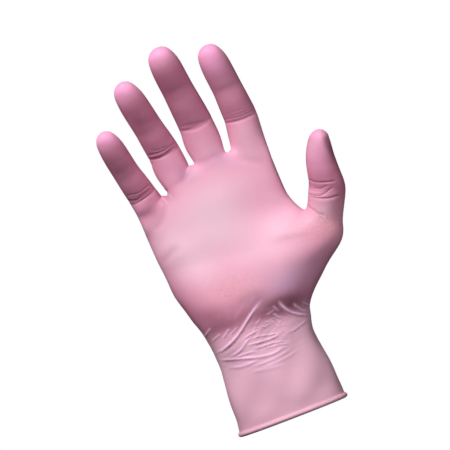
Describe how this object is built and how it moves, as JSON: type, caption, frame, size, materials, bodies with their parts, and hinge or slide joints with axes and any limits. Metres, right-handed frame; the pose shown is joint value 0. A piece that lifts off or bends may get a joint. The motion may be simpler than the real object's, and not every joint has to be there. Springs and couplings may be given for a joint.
{
  "type": "nitrile exam glove",
  "caption": "Thin one-piece exam glove in the shape of a worn right hand, open at the cuff, hollow to the fingertips, with a rolled rim and folds at the wrist.",
  "frame": {"origin": "middle of the wrist opening, on the plane of the rolled rim", "axes": "+Z from the rim to the fingertips, +X to the thumb, -Y out of the palm"},
  "size_m": [0.1366, 0.0587, 0.2439],
  "materials": {
    "nitrile": "pink nitrile film, smooth and semi-matte"
  },
  "bodies": {
    "root": {"glove": "nitrile"}
  },
  "joints": []
}
